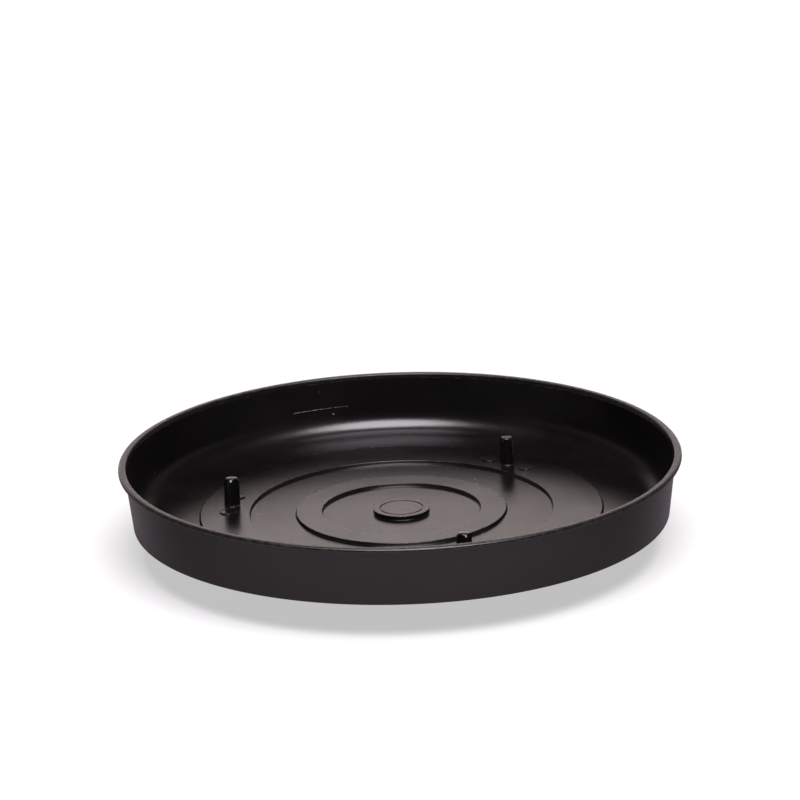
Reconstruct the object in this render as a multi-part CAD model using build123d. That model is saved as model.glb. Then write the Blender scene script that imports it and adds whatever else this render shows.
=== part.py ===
from build123d import *
import os
from math import cos, radians, sin

# Plant pot caddy: a round saucer on three low twin-wheel casters.
# The stem of each caster turns in a blind socket inside one of the three ribbed pegs.
# Millimetres, +Z up, origin on the ground under the centre of the saucer.

# --- Driving dimensions: saucer ---------------------------------------------------
rim_radius = 200.0          # outside of the lip
rim_height = 69.0           # top of the lip above the ground
skirt_bottom = 25.6         # lower edge of the wall above the ground
wall_top_radius = 195.6     # outer wall just under the lip
wall_bottom_radius = 190.6  # outer wall at its lower edge
wall_thickness = 2.2
lip_thickness = 3.0
lip_inner_radius = 195.0
lip_lean = 1.2              # the lip's inner face leans out by this much
lip_rounding = 1.1
skirt_rounding = 0.8
cove_radius = 16.0          # inside curve from floor to wall
floor_thickness = 2.1
step_height = 2.0           # how far the raised rings stand above the floor
raised_rings = [(56.2, 75.0), (107.6, 143.4)]   # inner and outer radius of each
boss_radius = 20.0
boss_height = 2.8
boss_groove_radius = 15.2
boss_groove_width = 1.2
boss_groove_depth = 0.6
web_count = 24              # webs between skirt and cove, seen from below
web_thickness = 1.6
hollow_depth = 8.4          # of the ring-shaped hollow between skirt and cove
hollow_bend = (0.62, 0.31)  # where its inner side bends, as shares of its width and depth
cut_beyond = 1.0            # a cutting shape runs this far past the face that it cuts

# --- Driving dimensions: pegs and sockets -----------------------------------------
station_radius = 122.3      # pegs and casters stand on this circle
station_angles = [170.4, 50.4, -69.6]
peg_height = 20.2
peg_base_radius = 6.0
peg_top_radius = 5.4
peg_chamfer = 1.8
peg_core_radius = 4.6
peg_rib_thickness = 2.2
peg_root = 0.5              # how far a peg reaches down into the floor
socket_radius = 3.05
socket_roof = 3.8           # plastic left above the blind socket
pad_radius = 6.1            # two low round pads beside each peg
pad_height = 0.8
pad_root = 0.2
pad_offset = 17.0

# --- Driving dimensions: casters ---------------------------------------------------
wheel_radius = 11.0
wheel_width = 7.6
tread_thickness = 1.5
tread_inset = 0.3           # the tread is narrower than the wheel, each side
tread_shoulder = 0.9
trail = 8.0                 # wheel axle behind the swivel axis
housing_half_width = 4.6
housing_top = 26.6
housing_floor = 2.5         # plastic under the end of the stem
boss_outer_radius = 7.2
axle_boss_radius = 5.4
web_top = 21.8              # top of the web between stem boss and axle
web_front, web_back = -1.5, 10.5
wheel_gap = 0.5             # between housing and wheel, each side
hood_gap = 0.8
hood_thickness = 1.5
hood_front_height = 13.8    # the hood ends this far above the ground in front
hood_back = 13.0            # and this far behind the swivel axis
hood_edge = 0.35            # rounding of the hood's outer corners
stem_radius = 3.0
stem_bottom = 17.5
stem_collar_radius = 4.6
stem_collar_height = 1.2
stem_tip = 1.0              # chamfer at the top of the stem
stem_top_gap = 0.5          # between the stem and the roof of the socket
ring_height = 2.6
ring_bottom = 39.0
ring_split = 1.4
ring_inner_gap = 0.12       # between grip ring and the bottom of its groove
groove_depth = 0.65
groove_play = 0.2           # above and below the ring
washer_radius = 6.9
washer_bore_gap = 0.15
washer_play = 0.05          # between thrust washer and saucer
axle_radius = 1.75
axle_chamfer = 0.3
axle_clearance = 0.05
axle_end_gap = 0.4
axle_cover = 1.6            # closed outer disc of the wheel over the axle's end
snap_depth = 0.25           # groove near each end of the axle, which a bead in the wheel clips into
snap_width = 0.9
snap_from_end = 1.1
hub_collar_radius = 3.6     # round the bore, on the wheel's inner side
hub_recess_depth = 1.4      # of the ring-shaped recess round that collar
hub_recess_radius = 7.6
hub_dish_depth = 0.9        # of the ring-shaped dish in the outer face
hub_dish_radius = 7.7
hub_cap_radius = 3.8
hub_slope = 0.6             # run of the sloping sides of dish and recess

# --- Worked out --------------------------------------------------------------------
floor_top = skirt_bottom + floor_thickness
raised_top = floor_top + step_height
raised_under = skirt_bottom + step_height
peg_top = raised_top + peg_height
socket_top = peg_top - socket_roof
washer_thickness = raised_under - housing_top - washer_play
wheel_inner = housing_half_width + wheel_gap
wheel_outer = wheel_inner + wheel_width
axle_half_length = wheel_outer - axle_cover - axle_end_gap
tread_core_radius = wheel_radius - tread_thickness
snap_middle = axle_half_length - snap_from_end - snap_width / 2   # along the axle from its middle


def lathe(points, roundings=()):
    """Turn a closed (radius, height) outline about Z, after rounding some of its corners."""
    face = make_face(Plane.XZ * Polyline(*points, close=True))
    for (radius, height), rounding in roundings:
        corner = face.vertices().sort_by_distance((radius, 0, height))[0]
        face = fillet(corner, rounding)
    return revolve(face, Axis.Z)


def wall_radius(height):
    """Outer wall radius at a height, from its straight draft."""
    share = (height - skirt_bottom) / (rim_height - lip_thickness - skirt_bottom)
    return wall_bottom_radius + share * (wall_top_radius - wall_bottom_radius)


def tube(outer, inner, bottom, top):
    ring = Cylinder(outer, top - bottom) - Cylinder(inner, top - bottom)
    return Pos(0, 0, (bottom + top) / 2) * ring


def saucer_body():
    """Solid of the saucer: floor with stepped rings, cove, wall and lip, still solid under the cove."""
    inner_top = lip_inner_radius - lip_lean
    inner_bottom = wall_radius(floor_top) - wall_thickness
    steps = []
    for inner, outer in raised_rings:
        steps += [(inner, floor_top), (inner, raised_top), (outer, raised_top), (outer, floor_top)]
    top_side = [(0, floor_top + boss_height), (boss_radius, floor_top + boss_height), (boss_radius, floor_top)]
    wall_side = [
        (inner_bottom, floor_top),
        (inner_top, rim_height - lip_thickness),
        (lip_inner_radius, rim_height),
        (rim_radius, rim_height),
        (rim_radius, rim_height - lip_thickness),
        (wall_top_radius, rim_height - lip_thickness),
        (wall_bottom_radius, skirt_bottom),
    ]
    under_side = [(0, skirt_bottom)]
    roundings = [
        ((inner_bottom, floor_top), cove_radius),
        ((rim_radius, rim_height), lip_rounding),
        ((rim_radius, rim_height - lip_thickness), lip_rounding),
        ((wall_bottom_radius, skirt_bottom), skirt_rounding),
    ]
    return lathe(top_side + steps + wall_side + under_side, roundings)


def under_pockets():
    """Hollows under the raised rings and the boss, which keep the floor one thickness."""
    boss_wall = boss_radius - floor_thickness
    boss_roof = skirt_bottom + boss_height
    pockets = [Pos(0, 0, (skirt_bottom + boss_roof) / 2) * Cylinder(boss_wall, boss_roof - skirt_bottom)]
    for inner, outer in raised_rings:
        pockets.append(tube(outer - floor_thickness, inner + floor_thickness, skirt_bottom, raised_under))
    return pockets


def skirt_hollow():
    """Ring-shaped hollow between skirt and cove, crossed by radial webs."""
    inner = wall_radius(floor_top + cove_radius) - wall_thickness - cove_radius
    outer_bottom = wall_bottom_radius - wall_thickness
    apex_height = skirt_bottom + hollow_depth
    apex = (wall_radius(apex_height) - wall_thickness, apex_height)
    bend = (inner + hollow_bend[0] * (apex[0] - inner), skirt_bottom + hollow_bend[1] * hollow_depth)
    mouth = skirt_bottom - cut_beyond
    face = make_face(Plane.XZ * Polyline(
        (inner, mouth), (inner, skirt_bottom), bend, apex, (outer_bottom, skirt_bottom),
        (outer_bottom, mouth), close=True))
    hollow = revolve(face, Axis.Z)
    web = Box(2 * (apex[0] - inner), web_thickness, 4 * hollow_depth)
    for k in range(web_count):
        angle = 360.0 * (k + 0.5) / web_count
        hollow -= Rot(0, 0, angle) * Pos((inner + outer_bottom) / 2, 0, skirt_bottom) * web
    return hollow


def peg():
    """Four-ribbed tapering post with chamfered tips; one rib points away from the saucer's centre."""
    envelope = lathe([
        (0, raised_top - peg_root),
        (peg_base_radius, raised_top - peg_root),
        (peg_top_radius, peg_top - peg_chamfer),
        (peg_top_radius - peg_chamfer, peg_top),
        (0, peg_top),
    ])
    middle = (raised_top + peg_top) / 2
    length = peg_height + 2 * cut_beyond
    core = Pos(0, 0, middle) * Cylinder(peg_core_radius, length)
    rib = Pos(0, 0, middle) * Box(3 * peg_base_radius, peg_rib_thickness, length)
    return (core + rib + Rot(0, 0, 90) * rib) & envelope


def station(angle):
    """Place of one caster: its swivel axis on the station circle."""
    return Pos(station_radius * cos(radians(angle)), station_radius * sin(radians(angle)), 0)


def tray():
    solid = saucer_body()
    for pocket in under_pockets():
        solid -= pocket
    solid -= skirt_hollow()
    groove_top = floor_top + boss_height
    solid -= tube(boss_groove_radius + boss_groove_width / 2, boss_groove_radius - boss_groove_width / 2,
                  groove_top - boss_groove_depth, groove_top + cut_beyond)
    for angle in station_angles:
        place = station(angle)
        solid += place * Rot(0, 0, angle) * peg()
        for side in (-1, 1):
            pad = Pos(0, side * pad_offset, raised_top + (pad_height - pad_root) / 2)
            solid += place * Rot(0, 0, angle) * pad * Cylinder(pad_radius, pad_height + pad_root)
        socket_length = socket_top - skirt_bottom
        socket = Cylinder(socket_radius, socket_length)
        solid -= place * Pos(0, 0, skirt_bottom + socket_length / 2) * socket
    return solid


def stem():
    """Turned steel pin: pressed into the housing, collar on the housing, groove for the grip ring."""
    groove_radius = stem_radius - groove_depth
    groove_bottom = ring_bottom - groove_play
    groove_top = ring_bottom + ring_height + groove_play
    top = socket_top - stem_top_gap
    collar_bottom = housing_top - stem_collar_height
    return lathe([
        (0, stem_bottom),
        (stem_radius, stem_bottom),
        (stem_radius, collar_bottom),
        (stem_collar_radius, collar_bottom),
        (stem_collar_radius, housing_top),
        (stem_radius, housing_top),
        (stem_radius, groove_bottom),
        (groove_radius, groove_bottom),
        (groove_radius, groove_top),
        (stem_radius, groove_top),
        (stem_radius, top - stem_tip),
        (stem_radius - stem_tip, top),
        (0, top),
    ])


def grip_ring():
    """Split spring ring that grips the socket wall and holds the stem by its groove."""
    inner = stem_radius - groove_depth + ring_inner_gap
    ring = tube(socket_radius, inner, ring_bottom, ring_bottom + ring_height)
    middle = ring_bottom + ring_height / 2
    split = Pos(0, stem_radius, middle) * Box(ring_split, 2 * stem_radius, ring_height + cut_beyond)
    return ring - split


def thrust_washer():
    return tube(washer_radius, stem_radius + washer_bore_gap, housing_top, housing_top + washer_thickness)


def hood():
    """Curved cover over the front and top of both wheels, a third of a tube lying along the axle."""
    width = 2 * wheel_outer
    inner = wheel_radius + hood_gap
    outer = inner + hood_thickness
    shell = Rot(0, 90, 0) * (Cylinder(outer, width) - Cylinder(inner, width))
    top = wheel_radius + outer + cut_beyond
    front = trail - outer - cut_beyond
    keep = Box(width + 2, hood_back - front, top - hood_front_height)
    middle = Pos(0, (hood_back + front) / 2, (top + hood_front_height) / 2)
    cover = (Pos(0, trail, wheel_radius) * shell) & (middle * keep)
    sides = cover.edges().filter_by(GeomType.CIRCLE).filter_by(lambda edge: edge.radius > inner + hood_edge)
    return fillet(sides, hood_edge)


def housing():
    """Caster body: stem boss, web to the axle, and the hood over both wheels."""
    axle_place = Pos(0, trail, wheel_radius) * Rot(0, 90, 0)
    boss_bottom = stem_bottom - housing_floor
    boss = Pos(0, 0, (boss_bottom + housing_top) / 2) * Cylinder(boss_outer_radius, housing_top - boss_bottom)
    axle_boss = axle_place * Cylinder(axle_boss_radius, 2 * housing_half_width)
    web_place = Pos(0, (web_front + web_back) / 2, (wheel_radius + web_top) / 2)
    web = web_place * Box(2 * housing_half_width, web_back - web_front, web_top - wheel_radius)
    wheel_space = axle_place * Cylinder(wheel_radius + hood_gap, 3 * wheel_outer)
    between_wheels = Box(2 * housing_half_width, 8 * boss_outer_radius, 2 * housing_top)
    body = (boss - wheel_space) + (boss & between_wheels) + axle_boss + web + hood()
    bore_length = housing_top - stem_bottom
    body -= Pos(0, 0, stem_bottom + bore_length / 2) * Cylinder(stem_radius, bore_length)
    body -= Pos(0, 0, housing_top) * Cylinder(stem_collar_radius, 2 * stem_collar_height)
    body -= axle_place * Cylinder(axle_radius, 2 * wheel_outer)
    return body


def axle():
    """Steel pin, chamfered, with a shallow snap groove near each end."""
    pin = Cylinder(axle_radius, 2 * axle_half_length)
    pin = chamfer(pin.edges().filter_by(GeomType.CIRCLE), axle_chamfer)
    for side in (-1, 1):
        groove = Cylinder(2 * axle_radius, snap_width) - Cylinder(axle_radius - snap_depth, snap_width)
        pin -= Pos(0, 0, side * snap_middle) * groove
    return Pos(0, trail, wheel_radius) * Rot(0, 90, 0) * pin


def wheel_hub():
    """Nylon wheel centre, turned about its own axis: closed dished face outside, blind axle bore inside."""
    bore = axle_radius + axle_clearance
    bead = bore - snap_depth
    bead_middle = snap_middle - wheel_inner
    bead_half = snap_width / 2 - 2 * axle_clearance
    dish = wheel_width - hub_dish_depth
    return lathe([
        (bore, 0),
        (hub_collar_radius, 0),
        (hub_collar_radius + hub_slope / 2, hub_recess_depth),
        (hub_recess_radius, hub_recess_depth),
        (hub_recess_radius + hub_slope, tread_inset),
        (tread_core_radius, tread_inset),
        (tread_core_radius, wheel_width - tread_inset),
        (hub_dish_radius + hub_slope, wheel_width),
        (hub_dish_radius, dish),
        (hub_cap_radius + hub_slope, dish),
        (hub_cap_radius, wheel_width),
        (0, wheel_width),
        (0, wheel_width - axle_cover),
        (bore, wheel_width - axle_cover),
        (bore, bead_middle + bead_half),
        (bead, bead_middle + bead_half / 2),
        (bead, bead_middle - bead_half / 2),
        (bore, bead_middle - bead_half),
    ])


def wheel_tread():
    bottom, top = tread_inset, wheel_width - tread_inset
    outline = [(tread_core_radius, bottom), (wheel_radius, bottom), (wheel_radius, top), (tread_core_radius, top)]
    return lathe(outline, [((wheel_radius, bottom), tread_shoulder), ((wheel_radius, top), tread_shoulder)])


def wheel_place(side):
    """Turns a wheel's own axis along X, with its closed face away from the housing."""
    return Pos(side * wheel_inner, trail, wheel_radius) * Rot(0, side * 90, 0)


parts = {"tray": tray()}
for number, angle in enumerate(station_angles, start=1):
    place = station(angle)
    parts[f"grip_ring_{number}"] = place * grip_ring()
    parts[f"stem_{number}"] = place * stem()
    parts[f"thrust_washer_{number}"] = place * thrust_washer()
    parts[f"housing_{number}"] = place * housing()
    parts[f"axle_{number}"] = place * axle()
    for side, side_name in ((-1, "left"), (1, "right")):
        spot = place * wheel_place(side)
        parts[f"wheel_hub_{number}_{side_name}"] = spot * wheel_hub()
        parts[f"wheel_tread_{number}_{side_name}"] = spot * wheel_tread()

os.makedirs("parts", exist_ok=True)
for name, shape in parts.items():
    export_step(shape, f"parts/{name}.step")
    print(name, len(shape.solids()), round(shape.volume, 2))
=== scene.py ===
import math

import bmesh
import bpy
import numpy as np
from mathutils import Matrix, Vector


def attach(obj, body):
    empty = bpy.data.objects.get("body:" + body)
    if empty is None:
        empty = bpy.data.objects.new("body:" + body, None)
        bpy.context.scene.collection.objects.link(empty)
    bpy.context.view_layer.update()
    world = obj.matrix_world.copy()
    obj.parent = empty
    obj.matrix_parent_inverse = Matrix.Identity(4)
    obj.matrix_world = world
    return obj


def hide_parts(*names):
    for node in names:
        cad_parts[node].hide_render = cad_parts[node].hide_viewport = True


# Plant pot caddy: black moulded saucer with ribbed pegs, on three low twin-wheel casters.
# Everything is in metres. The saucer, pegs and wheels are worked out here as surfaces; the other caster
# parts are copies of the frame's own parts with their edges softened.

print("loading the frame")
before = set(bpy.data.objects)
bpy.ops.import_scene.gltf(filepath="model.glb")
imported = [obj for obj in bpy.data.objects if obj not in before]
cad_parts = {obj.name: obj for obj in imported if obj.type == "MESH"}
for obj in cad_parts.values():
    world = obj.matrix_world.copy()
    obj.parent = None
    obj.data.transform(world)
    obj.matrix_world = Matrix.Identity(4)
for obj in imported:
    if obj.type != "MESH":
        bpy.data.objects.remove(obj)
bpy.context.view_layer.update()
mm = 0.001
rng = np.random.default_rng(41)


def roundedOutline(corners, steps=4, margin=0.5 * mm):
    # Each corner is (radius, height, rounding). A rounded corner becomes an arc that is tangent to
    # both of its sides: centre = corner + bisector * rounding / sin(half angle). Where a side has
    # room, one more point just past the arc keeps the flat beside it flat.
    # Gives rows of (radius, height, edge), where edge is 1 on the arcs of outward corners.
    spot = np.array([c[:2] for c in corners], float)
    side = np.diff(spot, axis=0)
    length = np.linalg.norm(side, axis=1)
    way = side / length[:, None]
    turn = np.arccos(np.clip((way[:-1] * way[1:]).sum(1), -1, 1))
    reach = np.concatenate([[0], [c[2] for c in corners[1:-1]] * np.tan(turn / 2), [0]])
    room = length - reach[:-1] - reach[1:]
    out = [[*spot[0], 0]]
    for k in range(1, len(corners) - 1):
        rounding, a, b = corners[k][2], way[k - 1], way[k]
        outward = a[0] * b[1] - a[1] * b[0] < 0
        if rounding <= 0:
            out.append([*spot[k], float(outward)])
            continue
        if room[k - 1] > 3 * margin:
            out.append([*(spot[k] - a * (reach[k] + margin)), 0])
        middle = (b - a) / np.linalg.norm(b - a)
        centre = spot[k] + middle * rounding / math.cos(turn[k - 1] / 2)
        share = corners[k][3] if len(corners[k]) > 3 else 1
        for t in np.linspace(-0.5, 0.5, max(3, int(steps * share))):
            swing = t * turn[k - 1] * (-1 if outward else 1)
            dx, dz = -middle
            arm = np.array([dx * math.cos(swing) - dz * math.sin(swing),
                            dx * math.sin(swing) + dz * math.cos(swing)])
            out.append([*(centre + rounding * arm), float(outward)])
        if room[k] > 3 * margin:
            out.append([*(spot[k] + b * (reach[k] + margin)), 0])
    out.append([*spot[-1], 0])
    return np.array(out)


def gridFaces(rows, columns):
    # Quads between neighbours of a rows x columns grid whose columns close on themselves.
    r = np.arange(rows - 1)[:, None]
    c = np.arange(columns)[None, :]
    right = (c + 1) % columns
    quads = [r * columns + c, (r + 1) * columns + c, (r + 1) * columns + right, r * columns + right]
    return np.stack(quads, -1).reshape(-1, 4)


def makeMesh(name, points, faces, edge=None, smoothAngle=38):
    mesh = bpy.data.meshes.new(name)
    mesh.from_pydata(points.tolist(), [], [list(f) for f in faces])
    mesh.validate()
    if edge is not None:
        mesh.attributes.new("edge", "FLOAT", "POINT").data.foreach_set("value", np.asarray(edge, np.float32))
    mesh.shade_smooth()
    mesh.set_sharp_from_angle(angle=math.radians(smoothAngle))
    piece = bpy.data.objects.new(name, mesh)
    bpy.context.scene.collection.objects.link(piece)
    return piece


def ringsToSolid(name, rings, edge, firstPole, lastPole, smoothAngle=38):
    # Closes a rows x columns x 3 grid of points, whose rows go round, with one point at each end.
    rows, columns = rings.shape[:2]
    points = np.concatenate([rings.reshape(-1, 3), [firstPole, lastPole]])
    values = np.concatenate([edge.ravel(), [0, 0]])
    k = np.arange(columns)
    n = (k + 1) % columns
    end = (rows - 1) * columns
    faces = gridFaces(rows, columns).tolist()
    faces += np.stack([np.full(columns, rows * columns), k, n], -1).tolist()
    faces += np.stack([np.full(columns, rows * columns + 1), end + n, end + k], -1).tolist()
    return makeMesh(name, points, faces, values, smoothAngle)


def latheMesh(name, outline, turns, centre=(0, 0), shape=None):
    # Surface of revolution: (r cos t, r sin t, z) for each outline point and angle t. The outline
    # starts at the top on the axis and ends at the bottom on the axis. shape(r, z, t) may move r and z.
    angle = np.linspace(0, 2 * math.pi, turns, endpoint=False)
    r, z, edge = (np.repeat(outline[1:-1, i:i + 1], turns, 1) for i in range(3))
    if shape:
        r, z = shape(r, z, angle[None, :])
    rings = np.stack([centre[0] + r * np.cos(angle), centre[1] + r * np.sin(angle), z], -1)
    return ringsToSolid(name, rings, edge, (*centre, outline[0, 1]), (*centre, outline[-1, 1]))


def onRoot(piece, node="tray"):
    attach(piece, "root")
    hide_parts(node)
    return piece


# The saucer: a turned shell of even thickness, with stepped floor rings, a cove and a rolled lip.
saucer = {
    "rimRadius": 199.95 * mm,
    "rimHeight": 69.0 * mm,
    "lipThickness": 3.0 * mm,
    "lipInner": 195.0 * mm,
    "wallTop": 195.6 * mm,
    "wallBottom": 190.6 * mm,
    "wall": 2.2 * mm,
    "skirtBottom": 25.6 * mm,
    "floor": 2.1 * mm,
    "step": 2.0 * mm,
    "draft": 0.5 * mm,          # half the run of a floor step's slope
    "rings": [(56.2 * mm, 75.0 * mm), (107.6 * mm, 143.4 * mm)],
    "bossRadius": 20.0 * mm,
    "bossHeight": 2.8 * mm,
    "grooveRadius": 15.2 * mm,
    "cove": 16.0 * mm,
    "hollowDepth": 8.4 * mm,
    "waviness": 0.12 * mm,      # slow unevenness of the moulded wall
    "flash": 0.03 * mm,         # ragged parting line along the lip
    "nicks": [(-40.4, 75.0 * mm, 1.0 * mm), (-157.5, 75.0 * mm, 0.8 * mm)],  # angle, radius, depth
    "turns": 420,
}


def saucerOutline(s):
    floorTop = s["skirtBottom"] + s["floor"]
    raised = floorTop + s["step"]
    under = s["skirtBottom"] + s["step"]
    bossTop = floorTop + s["bossHeight"]
    edge, root = 0.25 * mm, 0.1 * mm
    g, dip = s["grooveRadius"], bossTop - 0.6 * mm
    corners = [(0, bossTop, 0), (g - 0.5 * mm, bossTop, 0.1 * mm), (g - 0.4 * mm, dip, 0.05 * mm),
               (g + 0.4 * mm, dip, 0.05 * mm), (g + 0.5 * mm, bossTop, 0.1 * mm),
               (s["bossRadius"], bossTop, edge), (s["bossRadius"] + 0.1 * mm, floorTop, 2 * root)]
    for inner, outer in s["rings"]:
        corners += [(inner - s["draft"], floorTop, root), (inner + s["draft"], raised, edge),
                    (outer - s["draft"], raised, edge), (outer + s["draft"], floorTop, root)]
    rim, lip, bottom = s["rimHeight"], s["rimHeight"] - s["lipThickness"], s["skirtBottom"]
    drop = (s["wallTop"] - s["wallBottom"]) / (lip - bottom)
    innerFloor = s["wallBottom"] + drop * s["floor"] - s["wall"]
    skirtInner = s["wallBottom"] - s["wall"]
    apex = bottom + s["hollowDepth"]
    coveStart = innerFloor - s["cove"]
    corners += [(innerFloor, floorTop, s["cove"], 4), (s["lipInner"] - 1.2 * mm, lip, 1.2 * mm),
                (s["lipInner"], rim, 1.3 * mm, 2), (s["rimRadius"], rim, 2.0 * mm, 2.5),
                (s["rimRadius"], lip, 0.8 * mm, 1.5), (s["wallTop"], lip, 0.5 * mm),
                (s["wallBottom"], bottom, 0.7 * mm), (skirtInner, bottom, 0.4 * mm),
                (s["wallBottom"] + drop * s["hollowDepth"] - s["wall"], apex, 0.8 * mm),
                (coveStart + 0.62 * s["cove"], bottom + 0.31 * s["hollowDepth"], 6 * mm, 1.5),
                (coveStart, bottom, 3 * mm)]
    for inner, outer in reversed(s["rings"]):
        corners += [(outer - s["floor"], bottom, root), (outer - s["floor"], under, root),
                    (inner + s["floor"], under, root), (inner + s["floor"], bottom, root)]
    bossWall, bossRoof = s["bossRadius"] - s["floor"], bottom + s["bossHeight"]
    corners += [(bossWall, bottom, root), (bossWall, bossRoof, root), (0, bossRoof, 0)]
    return roundedOutline(corners)


def saucerShape(r, z, angle):
    # Slow waves round the wall, a fine ragged line along the lip's inner corner, and two nicks in the
    # outer edge of the inner raised ring, each a bell curve along the edge.
    s = saucer
    high = np.clip((z - s["skirtBottom"]) / (s["rimHeight"] - s["skirtBottom"]), 0, 1)
    wave = np.sin(3 * angle + 0.7) + 0.6 * np.sin(7 * angle + 2.1) + 0.4 * np.sin(11 * angle + 4.4)
    far = np.clip((r - 150 * mm) / (30 * mm), 0, 1)
    r = r - s["waviness"] * far * (0.5 + 0.25 * wave) * high
    rough = np.convolve(rng.normal(size=angle.shape[1] + 4), [0.2, 0.6, 1, 0.6, 0.2], "valid")[None, :]
    onLip = np.exp(-((z - s["rimHeight"] + 0.3 * mm) / (0.35 * mm)) ** 2) * (r > s["lipInner"] - 0.5 * mm)
    inside = r < s["lipInner"] + 0.8 * mm
    r = r - np.clip(rough, 0, 2) * s["flash"] * onLip * inside
    raised = s["skirtBottom"] + s["floor"] + s["step"]
    for degrees, radius, depth in s["nicks"]:
        along = (angle - math.radians(degrees) + math.pi) % (2 * math.pi) - math.pi
        bell = np.exp(-(along * radius / (0.9 * mm)) ** 2)
        near = np.exp(-((r - radius) / (0.9 * mm)) ** 2) * np.clip((z - raised + 1.4 * mm) / (1 * mm), 0, 1)
        r = r - depth * bell * near
    return r, z


print("turning the saucer")
outline = saucerOutline(saucer)
print("outline points", len(outline), "triangles", 2 * len(outline) * saucer["turns"])
saucerShell = onRoot(latheMesh("saucer", outline, saucer["turns"], shape=saucerShape))

# Webs in the hollow under the cove, one thin plate every fifteen degrees.
webs = {"count": 24, "thickness": 1.6 * mm, "overlap": 0.6 * mm, "lift": 0.3 * mm, "inset": 2.0 * mm}


def skirtWebs(w, s):
    # Each web is the hollow's own triangle (floor edge, skirt edge, apex), grown a little into the
    # plastic round it and given a thickness along the ring.
    drop = (s["wallTop"] - s["wallBottom"]) / (s["rimHeight"] - s["lipThickness"] - s["skirtBottom"])
    start = s["wallBottom"] + drop * s["floor"] - s["wall"] - s["cove"]
    low, grow = s["skirtBottom"] + w["lift"], w["overlap"]
    apex = s["skirtBottom"] + s["hollowDepth"]
    profile = np.array([(start + w["inset"], low), (s["wallBottom"] - s["wall"] + grow, low),
                        (s["wallBottom"] + drop * s["hollowDepth"] - s["wall"] + grow, apex + grow),
                        (start + 0.66 * s["cove"] - grow, s["skirtBottom"] + 0.42 * s["hollowDepth"] + grow)])
    corner = len(profile)
    angle = 2 * math.pi * (np.arange(w["count"]) + 0.5) / w["count"]
    side = np.array([-0.5, 0.5]) * w["thickness"]
    r, z = profile[None, None, :, 0], profile[None, None, :, 1]
    t, across = angle[:, None, None], side[None, :, None]
    points = np.stack([r * np.cos(t) - across * np.sin(t), r * np.sin(t) + across * np.cos(t),
                       np.broadcast_to(z, (w["count"], 2, corner))], -1).reshape(-1, 3)
    k = np.arange(corner)
    n = (k + 1) % corner
    walls = np.stack([n, k, k + corner, n + corner], -1).tolist()
    one = [k.tolist(), (k[::-1] + corner).tolist()] + walls
    faces = [[v + 2 * corner * web for v in face] for web in range(w["count"]) for face in one]
    return makeMesh("skirt_webs", points, faces, np.zeros(len(points)))


print("setting the webs under the skirt")
skirtPiece = onRoot(skirtWebs(webs, saucer))

# The pegs: four-ribbed posts with a chamfered tip and a blind socket inside; two low pads beside each.
pegs = {
    "circle": 122.3 * mm,
    "angles": [170.4, 50.4, -69.6],
    "bottom": 28.6 * mm,
    "foot": 29.7 * mm,
    "top": 49.9 * mm,
    "baseRadius": 6.0 * mm,
    "topRadius": 5.4 * mm,
    "chamfer": 1.8 * mm,
    "core": 4.6 * mm,
    "ribHalf": 1.1 * mm,
    "flare": 0.8 * mm,
    "socketRadius": 3.05 * mm,
    "socketTop": 46.1 * mm,
    "padRadius": 6.1 * mm,
    "padHeight": 0.8 * mm,
    "padOffset": 17.0 * mm,
}


def ribbedSection(p):
    # One quarter of a cross with a round core, in polar form: radius(t) = max(core, w / sin t), and
    # the rib's round tip where sin t is under w, for a rib of half width w.
    w, core = p["ribHalf"] / p["baseRadius"], p["core"] / p["baseRadius"]
    tipAngle, coreAngle = math.asin(w), math.asin(w / core)
    t = np.concatenate([np.linspace(0, tipAngle, 4), np.linspace(tipAngle, coreAngle, 3)[1:],
                        np.linspace(coreAngle, math.pi / 4, 5)[1:]])
    radius = np.where(t <= tipAngle + 1e-9, 1.0, np.maximum(core, w / np.sin(np.maximum(t, 1e-6))))
    half = np.concatenate([t, math.pi / 2 - t[-2:0:-1]])
    both = np.concatenate([radius, radius[-2:0:-1]])
    quarter = np.arange(4)[:, None] * math.pi / 2
    return (half[None, :] + quarter).ravel(), np.tile(both, 4)


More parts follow.
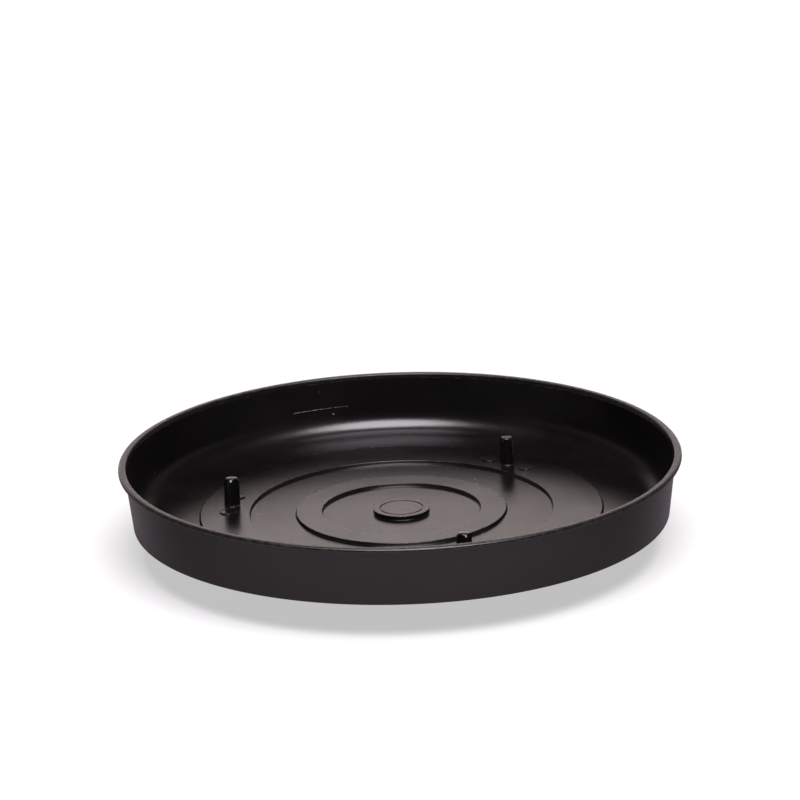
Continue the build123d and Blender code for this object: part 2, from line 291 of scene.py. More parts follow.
def pegMesh(name, p, centre, turn):
    # Levels go down the outside of the post, then back up inside the socket. At each level the section
    # is scaled to the taper and cut off at the chamfer. turn points one rib away from the saucer's centre.
    angle, section = ribbedSection(p)
    angle = angle + turn
    height = p["top"] - p["foot"]
    share = np.array([0, 0.012, 0.025, 0.05, 0.1, 0.2, 0.4, 0.6,
                      0.8, 0.88, 0.905, 0.92, 0.95, 0.98, 0.992, 1])
    level = share[::-1] * height
    taper = p["baseRadius"] + (p["topRadius"] - p["baseRadius"]) * level / height
    flare = p["flare"] * (1 - np.sqrt(1 - np.clip(1 - level / p["flare"], 0, 1) ** 2))
    cut = p["topRadius"] + 0.25 * mm - np.clip(level - (height - p["chamfer"]), 0, None)
    cut = cut - 0.25 * mm * np.clip((level - (height - 0.2 * mm)) / (0.2 * mm), 0, 1)
    r = np.minimum(section[None, :] * taper[:, None], cut[:, None]) + flare[:, None]
    z = p["foot"] + level
    onRib = (section > 0.9)[None, :]
    nearCut = np.exp(-((level - (height - p["chamfer"])) / (0.5 * mm)) ** 2)[:, None]
    edge = np.maximum(0.35 * onRib, nearCut * onRib) + 0.8 * (share[::-1] > 0.985)[:, None]
    socketZ = np.array([p["bottom"], p["bottom"], p["socketTop"] - 0.3 * mm, p["socketTop"]])
    socketR = np.array([p["baseRadius"], p["socketRadius"], p["socketRadius"], p["socketRadius"] - 0.4 * mm])
    r = np.concatenate([r, r[-1:], np.repeat(socketR[1:, None], len(angle), 1)])
    z = np.concatenate([z, socketZ[:1], socketZ[1:]])
    edge = np.concatenate([np.clip(edge, 0, 1), np.zeros((4, len(angle)))])
    rings = np.stack([centre[0] + r * np.cos(angle), centre[1] + r * np.sin(angle),
                      np.repeat(z[:, None], len(angle), 1)], -1)
    return ringsToSolid(name, rings, edge, (*centre, p["top"]), (*centre, p["socketTop"]), 30)


def padMesh(name, p, centre):
    # A low disc with a fine raised border, as an ejector pin leaves it.
    top, radius = p["foot"] + p["padHeight"], p["padRadius"]
    corners = [(0, top - 0.12 * mm, 0), (radius - 1.1 * mm, top - 0.12 * mm, 0.3 * mm),
               (radius - 0.7 * mm, top, 0.2 * mm), (radius - 0.1 * mm, top, 0.25 * mm),
               (radius, p["foot"], 0.2 * mm), (radius + 0.3 * mm, p["foot"] - 0.4 * mm, 0),
               (0, p["foot"] - 0.4 * mm, 0)]
    return latheMesh(name, roundedOutline(corners), 72, centre)


print("moulding the pegs and pads")
stations = [(pegs["circle"] * math.cos(math.radians(a)), pegs["circle"] * math.sin(math.radians(a)))
            for a in pegs["angles"]]
trayPieces = [saucerShell, skirtPiece]
for number, (centre, degrees) in enumerate(zip(stations, pegs["angles"]), start=1):
    turn = math.radians(degrees)
    trayPieces.append(onRoot(pegMesh(f"peg_{number}", pegs, centre, turn)))
    for side, sideName in ((-1, "inner"), (1, "outer")):
        shift = side * pegs["padOffset"]
        spot = (centre[0] - shift * math.sin(turn), centre[1] + shift * math.cos(turn))
        trayPieces.append(onRoot(padMesh(f"pad_{number}_{sideName}", pegs, spot)))


# The wheels: dished nylon hub and rubber tread, both turned about the axle.
wheel = {
    "radius": 11.0 * mm,
    "width": 7.6 * mm,
    "inner": 5.1 * mm,          # inner face, from the middle of the caster
    "trail": 8.0 * mm,
    "treadThickness": 1.5 * mm,
    "inset": 0.3 * mm,
    "bore": 1.8 * mm,
    "cover": 1.6 * mm,
    "turns": 96,
}


def hubOutline(w):
    # From the outer face inwards: centre boss, dish with one raised bead, rim, hollow back, axle bore.
    core, width, soft = w["radius"] - w["treadThickness"], w["width"], 0.25 * mm
    dish = width - 0.9 * mm
    crisp = 0.1 * mm
    corners = [(0, width - 0.15 * mm, 0), (0.7 * mm, width - 0.15 * mm, crisp), (0.9 * mm, width, crisp),
               (3.8 * mm, width, soft), (4.4 * mm, dish, soft), (5.2 * mm, dish, crisp),
               (5.35 * mm, dish + 0.2 * mm, crisp), (5.75 * mm, dish + 0.2 * mm, crisp),
               (5.9 * mm, dish, crisp), (7.7 * mm, dish, soft), (8.3 * mm, width, soft),
               (core, width - w["inset"], 0.15 * mm), (core, w["inset"], 0.15 * mm),
               (8.2 * mm, w["inset"], soft), (7.6 * mm, 1.4 * mm, soft), (3.9 * mm, 1.4 * mm, soft),
               (3.6 * mm, 0, soft), (w["bore"], 0, 0.15 * mm),
               (w["bore"], width - w["cover"], crisp), (0, width - w["cover"], 0)]
    return roundedOutline(corners, 4, 0.3 * mm)


def treadOutline(w):
    # A ring section that starts and ends at its inner face; its middle carries a fine mould line.
    core, r = w["radius"] - w["treadThickness"], w["radius"]
    low, high, middle = w["inset"], w["width"] - w["inset"], w["width"] / 2
    corners = [(core, middle, 0), (core, high, 0), (r - 0.04 * mm, high, 0.9 * mm, 1.5),
               (r - 0.04 * mm, middle + 0.12 * mm, 0), (r, middle, 0), (r - 0.04 * mm, middle - 0.12 * mm, 0),
               (r - 0.04 * mm, low, 0.9 * mm, 1.5), (core, low, 0), (core, middle, 0)]
    return roundedOutline(corners, 4, 0.3 * mm)


def wheelMesh(name, outline, w, centre, side, closed):
    # Turned about the X axis through the wheel's centre: x = inner face + height of the outline.
    # An outline that starts on the axis closes there; one that doesn't goes round on itself.
    angle = np.linspace(0, 2 * math.pi, w["turns"], endpoint=False)
    rows = outline[1:-1] if closed else outline[:-1]
    r, z, edge = (np.repeat(rows[:, i:i + 1], w["turns"], 1) for i in range(3))
    x = centre[0] + side * (w["inner"] + z)
    middle = centre[1] + w["trail"]
    rings = np.stack([x, middle + side * r * np.cos(angle), w["radius"] + r * np.sin(angle)], -1)
    if closed:
        ends = [(centre[0] + side * (w["inner"] + outline[k, 1]), middle, w["radius"]) for k in (0, -1)]
        return ringsToSolid(name, rings, edge, *ends)
    count, columns = r.shape
    faces = gridFaces(count, columns)
    k = np.arange(columns)
    n = (k + 1) % columns
    last = (count - 1) * columns
    seam = np.stack([last + k, k, n, last + n], -1)
    return makeMesh(name, rings.reshape(-1, 3), np.concatenate([faces, seam]).tolist(), edge.ravel())


print("turning the wheels")
hubPieces, treadPieces = [], []
for number, centre in enumerate(stations, start=1):
    for side, sideName in ((-1, "left"), (1, "right")):
        spot = f"{number}_{sideName}"
        hub = wheelMesh(f"hub_{spot}", hubOutline(wheel), wheel, centre, side, True)
        tread = wheelMesh(f"tread_{spot}", treadOutline(wheel), wheel, centre, side, False)
        for piece, kind, slotName in ((hub, "hub", "wheel_plastic"), (tread, "tread", "tread_rubber")):
            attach(piece, f"wheel_{spot}")
            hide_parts(f"wheel_{kind}_{spot}")
        hubPieces.append(hub)
        treadPieces.append(tread)

# Softened copies of the other caster parts: how wide the softened edge is on each.
softening = {"housing": 0.28 * mm, "stem": 0.15 * mm, "axle": 0.12 * mm, "thrust_washer": 0.12 * mm,
             "grip_ring": 0.08 * mm}


def softenedCopy(name, node, width):
    # Merges the part's triangles into whole faces, bevels its sharp edges and marks the bevels.
    mesh = node.data.copy()
    mesh.name = name
    work = bmesh.new()
    work.from_mesh(mesh)
    bmesh.ops.remove_doubles(work, verts=work.verts, dist=0.002 * mm)
    bmesh.ops.dissolve_limit(work, angle_limit=math.radians(1.0), verts=work.verts, edges=work.edges)
    sharp = [e for e in work.edges if e.is_manifold and e.calc_face_angle(0) > math.radians(32)]
    bmesh.ops.bevel(work, geom=sharp, offset=width, offset_type="OFFSET", segments=3, profile=0.5,
                    affect="EDGES", clamp_overlap=True)
    layer = work.verts.layers.float.new("edge")
    for vert in work.verts:
        bend = max((e.calc_face_angle_signed(0) for e in vert.link_edges if e.is_manifold), default=0)
        vert[layer] = min(1, max(0, (math.degrees(bend) - 18) / 8))
    work.to_mesh(mesh)
    work.free()
    mesh.materials.clear()
    if "custom_normal" in mesh.attributes:
        mesh.attributes.remove(mesh.attributes["custom_normal"])
    mesh.shade_smooth()
    mesh.set_sharp_from_angle(angle=math.radians(38))
    piece = bpy.data.objects.new(name, mesh)
    bpy.context.scene.collection.objects.link(piece)
    return piece


print("softening the caster parts")
castParts = {kind: [] for kind in softening}
for kind, width in softening.items():
    for number in range(1, len(stations) + 1):
        nodeName = f"{kind}_{number}"
        piece = softenedCopy(f"{kind}_soft_{number}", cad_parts[nodeName], width)
        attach(piece, "root" if kind == "grip_ring" else f"caster_{number}")
        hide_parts(nodeName)
        castParts[kind].append(piece)


# Shader groups that more than one finish uses.
def nodeGroup(name, inputs, outputs):
    group = bpy.data.node_groups.new(name, "ShaderNodeTree")
    for label, kind, value in inputs:
        socket = group.interface.new_socket(label, in_out="INPUT", socket_type=f"NodeSocket{kind}")
        if value is not None:
            socket.default_value = value
    for label, kind in outputs:
        group.interface.new_socket(label, in_out="OUTPUT", socket_type=f"NodeSocket{kind}")
    return group, group.nodes.new("NodeGroupInput"), group.nodes.new("NodeGroupOutput")


def mathNode(tree, operation, first, second=None, third=None):
    node = tree.nodes.new("ShaderNodeMath")
    node.operation = operation
    for socket, value in zip(node.inputs, (first, second, third)):
        if isinstance(value, bpy.types.NodeSocket):
            tree.links.new(value, socket)
        elif value is not None:
            socket.default_value = value
    return node.outputs[0]


def rangeNode(tree, value, low, high, outLow=0.0, outHigh=1.0):
    node = tree.nodes.new("ShaderNodeMapRange")
    node.interpolation_type = "SMOOTHSTEP"
    tree.links.new(value, node.inputs["Value"])
    for label, setting in (("From Min", low), ("From Max", high), ("To Min", outLow), ("To Max", outHigh)):
        if isinstance(setting, bpy.types.NodeSocket):
            tree.links.new(setting, node.inputs[label])
        else:
            node.inputs[label].default_value = setting
    return node.outputs["Result"]


def noiseNode(tree, vector, scale, detail=2.0, roughness=0.5, distortion=0.0):
    node = tree.nodes.new("ShaderNodeTexNoise")
    tree.links.new(vector, node.inputs["Vector"])
    if isinstance(scale, bpy.types.NodeSocket):
        tree.links.new(scale, node.inputs["Scale"])
    else:
        node.inputs["Scale"].default_value = scale
    node.inputs["Detail"].default_value = detail
    node.inputs["Roughness"].default_value = roughness
    node.inputs["Distortion"].default_value = distortion
    return node.outputs["Fac"]


def mouldGrainGroup():
    # Spark-eroded mould texture: fine rounded pits over a slower unevenness.
    inputs = [("Vector", "Vector", None), ("Scale", "Float", 900.0)]
    group, source, result = nodeGroup("mouldGrain", inputs, [("Height", "Float"), ("Patch", "Float")])
    vector, scale = source.outputs["Vector"], source.outputs["Scale"]
    fine = noiseNode(group, vector, scale, 3.0, 0.6)
    pits = group.nodes.new("ShaderNodeTexVoronoi")
    pits.feature = "SMOOTH_F1"
    group.links.new(vector, pits.inputs["Vector"])
    group.links.new(mathNode(group, "MULTIPLY", scale, 1.7), pits.inputs["Scale"])
    pitted = mathNode(group, "MULTIPLY", pits.outputs["Distance"], 0.6)
    group.links.new(mathNode(group, "ADD", fine, pitted), result.inputs["Height"])
    slow = noiseNode(group, vector, mathNode(group, "MULTIPLY", scale, 0.035), 3.0, 0.55)
    group.links.new(rangeNode(group, slow, 0.35, 0.7), result.inputs["Patch"])
    return group


def edgeWearGroup():
    # The piece's own "edge" value, broken up by noise so that wear comes and goes along an edge.
    inputs = [("Vector", "Vector", None), ("Amount", "Float", 0.5), ("Breakup", "Float", 180.0)]
    group, source, result = nodeGroup("edgeWear", inputs, [("Mask", "Float")])
    edge = group.nodes.new("ShaderNodeAttribute")
    edge.attribute_name = "edge"
    noise = noiseNode(group, source.outputs["Vector"], source.outputs["Breakup"], 5.0, 0.65)
    broken = rangeNode(group, noise, 0.42, 0.66)
    worn = mathNode(group, "MULTIPLY", edge.outputs["Fac"], broken)
    group.links.new(mathNode(group, "MULTIPLY", worn, source.outputs["Amount"]), result.inputs["Mask"])
    return group


def dustGroup():
    # Specks: the middle of a few Voronoi cells, chosen by each cell's random colour. Film: cloudy noise.
    inputs = [("Vector", "Vector", None), ("Scale", "Float", 120.0), ("Share", "Float", 0.05),
              ("Size", "Float", 0.1)]
    group, source, result = nodeGroup("dust", inputs, [("Specks", "Float"), ("Film", "Float")])
    vector = source.outputs["Vector"]
    cells = group.nodes.new("ShaderNodeTexVoronoi")
    group.links.new(vector, cells.inputs["Vector"])
    group.links.new(source.outputs["Scale"], cells.inputs["Scale"])
    channels = group.nodes.new("ShaderNodeSeparateColor")
    group.links.new(cells.outputs["Color"], channels.inputs["Color"])
    chosen = mathNode(group, "LESS_THAN", channels.outputs["Red"], source.outputs["Share"])
    varied = mathNode(group, "ADD", channels.outputs["Green"], 0.35)
    sized = mathNode(group, "MULTIPLY", source.outputs["Size"], varied)
    heart = mathNode(group, "MULTIPLY", sized, 0.4)
    close = rangeNode(group, cells.outputs["Distance"], heart, sized, 1.0, 0.0)
    group.links.new(mathNode(group, "MULTIPLY", chosen, close), result.inputs["Specks"])
    cloud = noiseNode(group, vector, 14.0, 6.0, 0.62, 0.4)
    group.links.new(rangeNode(group, cloud, 0.42, 0.78), result.inputs["Film"])
    return group


def scuffGroup():
    # Hairline scuffs: noise drawn out along one direction, of which only the crests are kept.
    inputs = [("Vector", "Vector", None), ("Scale", "Float", 60.0), ("Stretch", "Float", 14.0),
              ("Keep", "Float", 0.7)]
    group, source, result = nodeGroup("scuffs", inputs, [("Mask", "Float")])
    parts = group.nodes.new("ShaderNodeSeparateXYZ")
    group.links.new(source.outputs["Vector"], parts.inputs["Vector"])
    joined = group.nodes.new("ShaderNodeCombineXYZ")
    bend = noiseNode(group, source.outputs["Vector"], 9.0, 2.0)
    across = mathNode(group, "ADD", parts.outputs["X"], mathNode(group, "MULTIPLY", parts.outputs["Y"], 0.35))
    across = mathNode(group, "ADD", across, mathNode(group, "MULTIPLY", bend, 0.03))
    group.links.new(mathNode(group, "MULTIPLY", across, source.outputs["Stretch"]), joined.inputs["X"])
    group.links.new(parts.outputs["Y"], joined.inputs["Y"])
    group.links.new(parts.outputs["Z"], joined.inputs["Z"])
    lines = noiseNode(group, joined.outputs["Vector"], source.outputs["Scale"], 2.0, 0.4)
    kept = mathNode(group, "ADD", source.outputs["Keep"], 0.03)
    group.links.new(rangeNode(group, lines, source.outputs["Keep"], kept), result.inputs["Mask"])
    return group


def scratchGroup():
    # One scratch: how near a point is to the straight line between two ends, broken up along its length.
    inputs = [("Vector", "Vector", None), ("Start", "Vector", None), ("End", "Vector", None),
              ("Width", "Float", 0.3 * mm)]
    group, source, result = nodeGroup("scratch", inputs, [("Mask", "Float")])

    def vectorNode(operation, first, second=None):
        node = group.nodes.new("ShaderNodeVectorMath")
        node.operation = operation
        group.links.new(first, node.inputs[0])
        if second is not None:
            group.links.new(second, node.inputs[1])
        return node

    line = vectorNode("SUBTRACT", source.outputs["End"], source.outputs["Start"]).outputs["Vector"]
    away = vectorNode("SUBTRACT", source.outputs["Vector"], source.outputs["Start"]).outputs["Vector"]
    dot = vectorNode("DOT_PRODUCT", away, line).outputs["Value"]
    square = vectorNode("DOT_PRODUCT", line, line).outputs["Value"]
    share = mathNode(group, "DIVIDE", dot, square)
    share = mathNode(group, "MINIMUM", mathNode(group, "MAXIMUM", share, 0.0), 1.0)
    foot = group.nodes.new("ShaderNodeVectorMath")
    foot.operation = "SCALE"
    group.links.new(line, foot.inputs[0])
    group.links.new(share, foot.inputs["Scale"])
    off = vectorNode("DISTANCE", away, foot.outputs["Vector"]).outputs["Value"]
    wobble = noiseNode(group, source.outputs["Vector"], 700.0, 3.0)
    width = mathNode(group, "MULTIPLY", source.outputs["Width"], mathNode(group, "MULTIPLY", wobble, 2.0))
    near = rangeNode(group, off, mathNode(group, "MULTIPLY", width, 0.3), width, 1.0, 0.0)
    gaps = rangeNode(group, noiseNode(group, source.outputs["Vector"], 260.0, 3.0), 0.2, 0.38)
    group.links.new(mathNode(group, "MULTIPLY", near, gaps), result.inputs["Mask"])
    return group


def turningGroup():
    # Fine rings left by a turned mould: noise that varies only with the distance from one upright axis.
    inputs = [("Vector", "Vector", None), ("Scale", "Float", 1500.0)]
    group, source, result = nodeGroup("turningRings", inputs, [("Height", "Float")])
    parts = group.nodes.new("ShaderNodeSeparateXYZ")
    group.links.new(source.outputs["Vector"], parts.inputs["Vector"])
    x, y = parts.outputs["X"], parts.outputs["Y"]
    squares = mathNode(group, "ADD", mathNode(group, "MULTIPLY", x, x), mathNode(group, "MULTIPLY", y, y))
    radius = mathNode(group, "SQRT", squares)
    place = group.nodes.new("ShaderNodeCombineXYZ")
    group.links.new(radius, place.inputs["X"])
    rings = noiseNode(group, place.outputs["Vector"], source.outputs["Scale"], 2.0, 0.7)
    group.links.new(rings, result.inputs["Height"])
    return group


print("building the shader groups")
groups = {"grain": mouldGrainGroup(), "wear": edgeWearGroup(), "dust": dustGroup(), "scuffs": scuffGroup(),
          "scratch": scratchGroup(), "turning": turningGroup()}


class Finish:
    # A material under construction: its node tree, its shader and the coordinates that patterns read.
    def __init__(self, name, roughness, metallic=0.0, specular=0.5):
        self.material = bpy.data.materials.new(name)
        self.material.use_nodes = True
        self.tree = self.material.node_tree
        self.nodes, self.links = self.tree.nodes, self.tree.links
        self.shader = self.nodes["Principled BSDF"]
        self.shader.inputs["Metallic"].default_value = metallic
        self.shader.inputs["Specular IOR Level"].default_value = specular
        self.shader.inputs["Roughness"].default_value = roughness
        self.place = self.nodes.new("ShaderNodeTexCoord").outputs["Object"]

    def group(self, key, output, **values):
        node = self.nodes.new("ShaderNodeGroup")
        node.node_tree = groups[key]
        self.links.new(self.place, node.inputs["Vector"])
        for label, value in values.items():
            node.inputs[label].default_value = value
        return node.outputs[output] if isinstance(output, str) else [node.outputs[o] for o in output]

    def tint(self, base, mask, color, strength=1.0):
        # Blends a colour over another by a mask.
        node = self.nodes.new("ShaderNodeMix")
        node.data_type = "RGBA"
        self.links.new(mathNode(self.tree, "MULTIPLY", mask, strength), node.inputs["Factor"])
        if isinstance(base, bpy.types.NodeSocket):
            self.links.new(base, node.inputs["A"])
        else:
            node.inputs["A"].default_value = (*base, 1)
        node.inputs["B"].default_value = (*color, 1)
        return node.outputs["Result"]

    def bump(self, height, distance, strength=1.0, normal=None):
        node = self.nodes.new("ShaderNodeBump")
        node.inputs["Distance"].default_value = distance
        node.inputs["Strength"].default_value = strength
        self.links.new(height, node.inputs["Height"])
        if normal is not None:
            self.links.new(normal, node.inputs["Normal"])
        return node.outputs["Normal"]

    def finish(self, color, roughness, normal):
        self.links.new(color, self.shader.inputs["Base Color"])
        self.links.new(roughness, self.shader.inputs["Roughness"])
        self.links.new(normal, self.shader.inputs["Normal"])
        return self.material


trayLook = {
    "color": (0.0026, 0.0023, 0.0025),
    "filmColor": (0.035, 0.029, 0.026),
    "speckColor": (0.42, 0.38, 0.34),
    "wearColor": (0.06, 0.052, 0.05),
    "rimColor": (0.14, 0.11, 0.10),
    "roughness": 0.23,
    "specular": 0.5,
    "scratch": {"radius": 191.05 * mm, "angles": (113.8, 101.3), "heights": (46.8 * mm, 47.3 * mm),
                "width": 0.35 * mm, "parts": 5},
    "speckWidth": 0.6 * mm,
    "specks": [(-29.0, 48.8, 27.7), (-103.6, 3.8, 27.7), (-100.8, 3.5, 27.7), (-21.0, -24.0, 27.7),
               (-15.0, -20.0, 30.5), (-58.0, 183.6, 60.0), (-48.6, 184.2, 42.5)],     # in mm
}


def scratchLines(look):
    # The scratch follows the wall as a chain of short chords; each speck is a very short line.
    c = look["scratch"]
    angle = np.radians(np.linspace(*c["angles"], c["parts"] + 1))
    height = np.linspace(*c["heights"], c["parts"] + 1)
    chain = np.stack([c["radius"] * np.cos(angle), c["radius"] * np.sin(angle), height], -1)
    lines = [(start, end, c["width"]) for start, end in zip(chain[:-1], chain[1:])]
    for spot in np.array(look["specks"]) * mm:
        lines.append((spot, spot + np.array([0.5 * mm, 0.1 * mm, 0]), look["speckWidth"]))
    return lines


def trayPlastic(look):
    f = Finish("trayPlastic", look["roughness"], specular=look["specular"])
    height, patch = f.group("grain", ("Height", "Patch"), Scale=850.0)
    specks, film = f.group("dust", ("Specks", "Film"), Scale=130.0, Share=0.02, Size=0.07)
    wear = f.group("wear", "Mask", Amount=0.6, Breakup=160.0)
    rings = f.group("turning", "Height", Scale=1300.0)
    color = f.tint(look["color"], film, look["filmColor"], 0.07)
    color = f.tint(color, patch, look["filmColor"], 0.03)
    color = f.tint(color, wear, look["wearColor"], 0.25)
    color = f.tint(color, specks, look["speckColor"], 0.8)
    parts = f.nodes.new("ShaderNodeSeparateXYZ")
    f.links.new(f.place, parts.inputs["Vector"])
    rim = rangeNode(f.tree, parts.outputs["Z"], 67.4 * mm, 69.0 * mm)   # dust that lies on the lip
    settled = noiseNode(f.tree, f.place, 420.0, 6.0, 0.7)
    rimDust = mathNode(f.tree, "MULTIPLY", rim, rangeNode(f.tree, settled, 0.30, 0.75))
    color = f.tint(color, rimDust, look["rimColor"], 0.14)
    cuts = None
    for start, end, width in scratchLines(look):
        cut = f.group("scratch", "Mask", Start=start.tolist(), End=end.tolist(), Width=width)
        cuts = cut if cuts is None else mathNode(f.tree, "MAXIMUM", cuts, cut)
    color = f.tint(color, cuts, look["speckColor"], 0.7)
    rough = mathNode(f.tree, "MULTIPLY_ADD", patch, 0.02, look["roughness"])
    rough = mathNode(f.tree, "MULTIPLY_ADD", film, 0.03, rough)
    rough = mathNode(f.tree, "MULTIPLY_ADD", rimDust, 0.35, rough)
    rough = mathNode(f.tree, "MULTIPLY_ADD", wear, 0.10, rough)
    rough = mathNode(f.tree, "MULTIPLY_ADD", specks, 0.4, rough)
    normal = f.bump(height, 0.06 * mm, 0.8)
    normal = f.bump(rings, 0.015 * mm, 0.4, normal)
    raisedBits = mathNode(f.tree, "SUBTRACT", specks, cuts)
    normal = f.bump(raisedBits, 0.15 * mm, 0.6, normal)
    return f.finish(color, rough, normal)


casterLook = {
    "housing": {"color": (0.022, 0.022, 0.024), "roughness": 0.42, "grain": 1500.0, "dustiness": 0.20,
                "wornColor": (0.075, 0.074, 0.073)},
    "hub": {"color": (0.060, 0.060, 0.064), "roughness": 0.36, "grain": 1900.0, "dustiness": 0.14,
            "wornColor": (0.130, 0.128, 0.125)},
    "washer": {"color": (0.66, 0.63, 0.56), "roughness": 0.38, "grain": 2200.0, "dustiness": 0.35,
               "wornColor": (0.78, 0.76, 0.70)},
    "plated": {"color": (0.56, 0.57, 0.58), "stain": (0.36, 0.35, 0.31), "roughness": 0.26, "rings": 2400.0},
    "spring": {"color": (0.30, 0.29, 0.28), "stain": (0.14, 0.12, 0.10), "roughness": 0.34, "rings": 2800.0},
}


def mouldedNylon(name, color, roughness, grain, dustiness, wornColor):
    # Housing and hub plastic: fine grain, paler worn edges, cloudy dust.
    f = Finish(name, roughness, specular=0.45)
    height, patch = f.group("grain", ("Height", "Patch"), Scale=grain)
    specks, film = f.group("dust", ("Specks", "Film"), Scale=500.0, Share=0.05, Size=0.1)
    wear = f.group("wear", "Mask", Amount=0.9, Breakup=420.0)
    tone = f.tint(color, patch, wornColor, 0.25)
    tone = f.tint(tone, film, (0.16, 0.14, 0.12), dustiness)
    tone = f.tint(tone, wear, wornColor, 0.9)
    tone = f.tint(tone, specks, (0.30, 0.27, 0.23), 0.6)
    rough = mathNode(f.tree, "MULTIPLY_ADD", patch, 0.08, roughness)
    rough = mathNode(f.tree, "MULTIPLY_ADD", film, 0.12, rough)
    normal = f.bump(height, 0.03 * mm, 0.5)
    normal = f.bump(specks, 0.08 * mm, 0.5, normal)
    return f.finish(tone, rough, normal)


def treadRubber():
    # Grey rubber: dull, scuffed along its crown, with floor dirt pressed in.
    f = Finish("treadRubber", 0.62, specular=0.35)
    height, patch = f.group("grain", ("Height", "Patch"), Scale=1800.0)
    specks, film = f.group("dust", ("Specks", "Film"), Scale=700.0, Share=0.12, Size=0.16)
    scuffs = f.group("scuffs", "Mask", Scale=180.0, Stretch=6.0, Keep=0.62)
    tone = f.tint((0.115, 0.115, 0.120), patch, (0.160, 0.157, 0.152), 0.6)
    tone = f.tint(tone, film, (0.17, 0.15, 0.125), 0.25)
    tone = f.tint(tone, scuffs, (0.16, 0.155, 0.15), 0.5)
    tone = f.tint(tone, specks, (0.24, 0.20, 0.15), 0.7)
    rough = mathNode(f.tree, "MULTIPLY_ADD", patch, 0.12, 0.55)
    rough = mathNode(f.tree, "MULTIPLY_ADD", scuffs, 0.12, rough)
    normal = f.bump(height, 0.06 * mm, 0.7)
    normal = f.bump(scuffs, 0.05 * mm, 0.5, normal)
    return f.finish(tone, rough, normal)


def steelFinish(name, color, stain, roughness, rings):
    # Turned or drawn steel: fine tool lines, slow tarnish, brighter worn edges.
    f = Finish(name, roughness, metallic=1.0)
    lines = f.group("turning", "Height", Scale=rings)
    height, patch = f.group("grain", ("Height", "Patch"), Scale=1500.0)
    specks, film = f.group("dust", ("Specks", "Film"), Scale=900.0, Share=0.06, Size=0.12)
    wear = f.group("wear", "Mask", Amount=0.8, Breakup=600.0)
    tone = f.tint(color, patch, stain, 0.5)
    tone = f.tint(tone, film, stain, 0.3)
    tone = f.tint(tone, specks, (0.12, 0.08, 0.05), 0.6)
    tone = f.tint(tone, wear, (0.78, 0.77, 0.74), 0.6)
    rough = mathNode(f.tree, "MULTIPLY_ADD", patch, 0.15, roughness)
    rough = mathNode(f.tree, "MULTIPLY_ADD", specks, 0.3, rough)
    normal = f.bump(lines, 0.01 * mm, 0.5)
    normal = f.bump(height, 0.01 * mm, 0.4, normal)
    return f.finish(tone, rough, normal)


print("mixing the finishes")
trayMaterial = trayPlastic(trayLook)
housingMaterial = mouldedNylon("housingNylon", **casterLook["housing"])
hubMaterial = mouldedNylon("hubNylon", **casterLook["hub"])
washerMaterial = mouldedNylon("acetalWasher", **casterLook["washer"])
treadMaterial = treadRubber()
platedMaterial = steelFinish("zincPlate", **casterLook["plated"])
springMaterial = steelFinish("oiledSpring", **casterLook["spring"])
finishes = [(trayPieces, trayMaterial), (hubPieces, hubMaterial), (treadPieces, treadMaterial),
            (castParts["housing"], housingMaterial), (castParts["thrust_washer"], washerMaterial),
            (castParts["stem"] + castParts["axle"], platedMaterial), (castParts["grip_ring"], springMaterial)]
for pieces, material in finishes:
    for piece in pieces:
        piece.data.materials.append(material)


# The stage: a pale floor, a broad soft sun from above and in front, and a patch of bright sky behind.
print("setting the stage")
stage = {
    "floorSize": 40.0,
    "floorColor": (0.36, 0.36, 0.36),
    "floorGlow": 0.52,          # keeps the shadow under the caddy pale
    "floorNear": (0.47, 0.43, 0.45),    # the floor that reflections see: in front of the caddy
    "floorFar": (0.16, 0.145, 0.152),     # and beside and behind it
    "backStrength": 1.85,
    "sideStrength": 0.14,
    "frontStrength": 0.06,
    "backTurn": 4.0,            # the brightest sky lies this far to the left of straight back
    "skyColor": (1.0, 0.87, 0.855),
    "sunColor": (1.0, 0.945, 1.0),
    "sunStrength": 5.0,
    "sunAngle": 41.0,
    "sunTilt": 22.0,            # towards the front, from straight up
    "sunRight": 4.5,
}
floorMesh = bpy.data.meshes.new("floorSheet")
half = stage["floorSize"] / 2
floorCorners = [(-half, -half, 0), (half, -half, 0), (half, half, 0), (-half, half, 0)]
floorMesh.from_pydata(floorCorners, [], [(0, 1, 2, 3)])
floorSheet = bpy.data.objects.new("floorSheet", floorMesh)
bpy.context.scene.collection.objects.link(floorSheet)


def paleFloor(s):
    # The camera and diffuse light see an even pale sheet that also glows, painted light that keeps the shadow
    # under the caddy pale; reflections see one that darkens behind the caddy.
    f = Finish("paleFloor", 0.8, specular=0.1)
    path = f.nodes.new("ShaderNodeLightPath").outputs
    seen = mathNode(f.tree, "MAXIMUM", path["Is Camera Ray"], path["Is Diffuse Ray"])
    parts = f.nodes.new("ShaderNodeSeparateXYZ")
    f.links.new(f.place, parts.inputs["Vector"])
    behind = rangeNode(f.tree, parts.outputs["Y"], -0.30, -0.05)
    mirrored = f.tint(s["floorNear"], behind, s["floorFar"])
    f.links.new(f.tint(mirrored, seen, s["floorColor"]), f.shader.inputs["Base Color"])
    f.shader.inputs["Emission Color"].default_value = (1, 1, 1, 1)
    f.links.new(mathNode(f.tree, "MULTIPLY", seen, s["floorGlow"]), f.shader.inputs["Emission Strength"])
    return f.material


floorMesh.materials.append(paleFloor(stage))


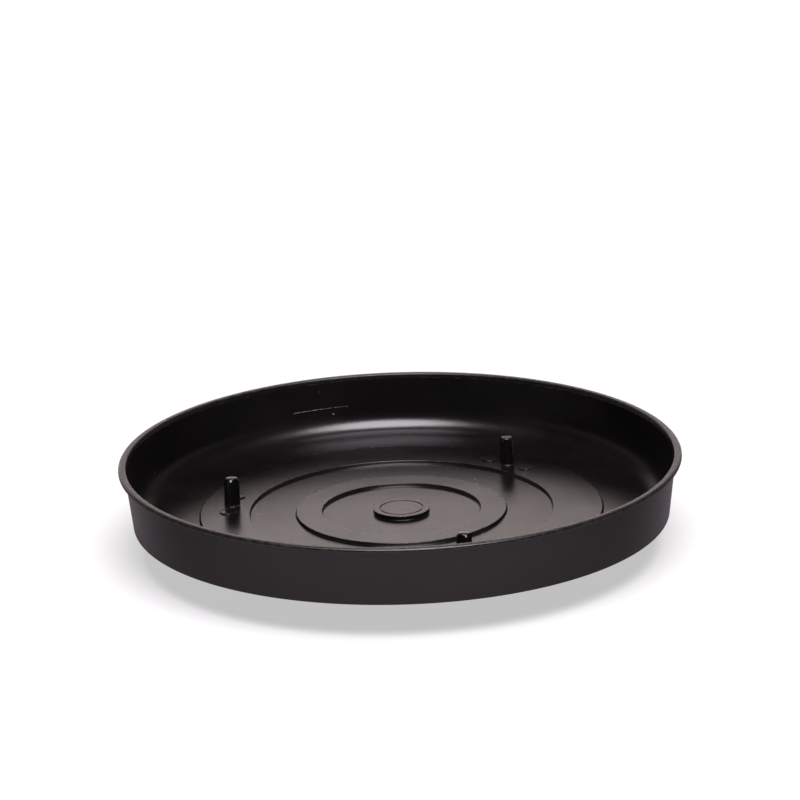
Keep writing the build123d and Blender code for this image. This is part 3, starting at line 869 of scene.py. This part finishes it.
def studioWorld(s):
    # The light from the sky grows from front to back, along a line turned a little to the left, and fades
    # overhead; the camera itself sees white.
    world = bpy.data.worlds.new("studioWorld")
    bpy.context.scene.world = world
    world.use_nodes = True
    tree = world.node_tree
    parts = tree.nodes.new("ShaderNodeSeparateXYZ")
    tree.links.new(tree.nodes.new("ShaderNodeTexCoord").outputs["Generated"], parts.inputs["Vector"])
    turn = math.radians(s["backTurn"])
    along = mathNode(tree, "MULTIPLY", parts.outputs["Y"], math.cos(turn))
    along = mathNode(tree, "SUBTRACT", along, mathNode(tree, "MULTIPLY", parts.outputs["X"], math.sin(turn)))
    sides = rangeNode(tree, along, -0.9, -0.1, s["frontStrength"], s["sideStrength"])
    backs = rangeNode(tree, along, 0.78, 0.945, 0.0, s["backStrength"] - s["sideStrength"])
    low = rangeNode(tree, parts.outputs["Z"], 0.22, 0.55, 1.0, 0.2)
    level = mathNode(tree, "MULTIPLY", mathNode(tree, "ADD", sides, backs), low)
    seen = tree.nodes.new("ShaderNodeLightPath").outputs["Is Camera Ray"]
    background = tree.nodes["Background"]
    background.inputs["Color"].default_value = (*s["skyColor"], 1)
    tree.links.new(level, background.inputs["Strength"])
    white = tree.nodes.new("ShaderNodeBackground")
    white.inputs["Color"].default_value = (1, 1, 1, 1)
    choice = tree.nodes.new("ShaderNodeMixShader")
    tree.links.new(seen, choice.inputs["Fac"])
    tree.links.new(background.outputs["Background"], choice.inputs[1])
    tree.links.new(white.outputs["Background"], choice.inputs[2])
    tree.links.new(choice.outputs["Shader"], tree.nodes["World Output"].inputs["Surface"])


def softSun(s):
    data = bpy.data.lights.new("softSun", "SUN")
    data.energy = s["sunStrength"]
    data.color = s["sunColor"]
    data.angle = math.radians(s["sunAngle"])
    lamp = bpy.data.objects.new("softSun", data)
    bpy.context.scene.collection.objects.link(lamp)
    tilt, right = math.radians(s["sunTilt"]), math.radians(s["sunRight"])
    source = Vector((math.sin(right), -math.sin(tilt), math.cos(tilt)))
    lamp.location = source * 3
    lamp.rotation_mode = "QUATERNION"
    lamp.rotation_quaternion = (-source).to_track_quat("-Z", "Y")


studioWorld(stage)
softSun(stage)

view = {
    "elevation": 18.34,
    "roll": -1.79,
    "distance": 4.0,
    "lens": 253.76,
    "lift": 39.8 * mm,          # the aim point lies this far above the rim's centre, across the line of sight
    "aside": 0.14 * mm,
}


def placeCamera(v, centre):
    camera = bpy.data.objects.new("camera", bpy.data.cameras.new("camera"))
    bpy.context.scene.collection.objects.link(camera)
    bpy.context.scene.camera = camera
    e, roll = math.radians(v["elevation"]), math.radians(v["roll"])
    across, upward = Vector((1, 0, 0)), Vector((0, math.sin(e), math.cos(e)))
    right = across * math.cos(roll) + upward * math.sin(roll)
    up = upward * math.cos(roll) - across * math.sin(roll)
    place = centre + Vector((0, -math.cos(e), math.sin(e))) * v["distance"]
    forward = (centre + up * v["lift"] + right * v["aside"] - place).normalized()
    right = (right - forward * right.dot(forward)).normalized()
    up = right.cross(forward)
    camera.matrix_world = Matrix(((right.x, up.x, -forward.x, place.x), (right.y, up.y, -forward.y, place.y),
                                  (right.z, up.z, -forward.z, place.z), (0, 0, 0, 1)))
    camera.data.sensor_width = 36.0
    camera.data.lens = v["lens"]
    camera.data.clip_start, camera.data.clip_end = 0.1, 100


placeCamera(view, Vector((0, 0, saucer["rimHeight"])))
bpy.context.scene.view_settings.view_transform = "Standard"
